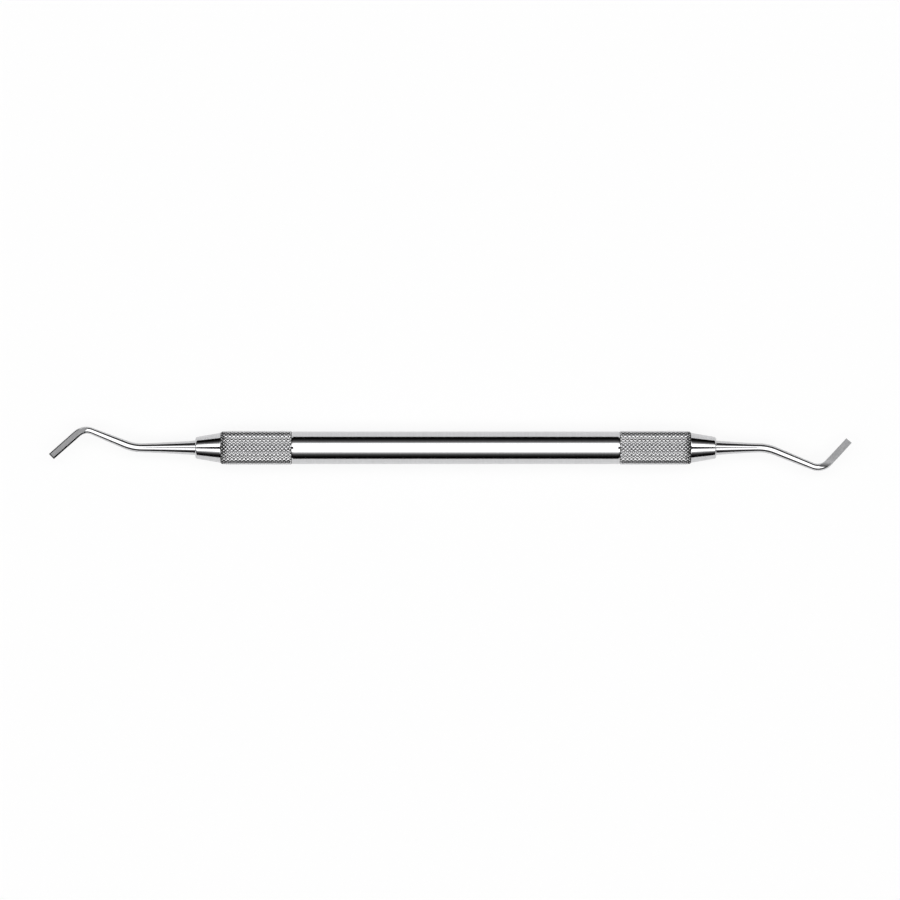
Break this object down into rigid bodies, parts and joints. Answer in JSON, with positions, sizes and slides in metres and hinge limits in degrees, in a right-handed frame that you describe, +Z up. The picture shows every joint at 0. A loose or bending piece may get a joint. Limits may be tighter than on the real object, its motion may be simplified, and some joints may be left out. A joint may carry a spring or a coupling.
{
  "type": "dental hatchet",
  "caption": "Double-ended dental hatchet: a round steel handle with two knurled grips and, at each end, a tapered shank with two bends and a flat blade.",
  "frame": {"origin": "under the middle of the instrument's length, below the handle's axis, on the plane that the handle rests on", "axes": "+X along the handle towards the right tip, +Y in the plane of the bends towards the side that the left tip rises to, +Z up, away from the plane that the handle rests on"},
  "size_m": [0.1656, 0.0092, 0.007],
  "materials": {
    "handle_steel": "turned, knurled and polished stainless steel",
    "tip_steel": "polished shank, satin ground blade faces"
  },
  "bodies": {
    "root": {"handle": "handle_steel", "left_tip": "tip_steel", "right_tip": "tip_steel"}
  },
  "joints": []
}
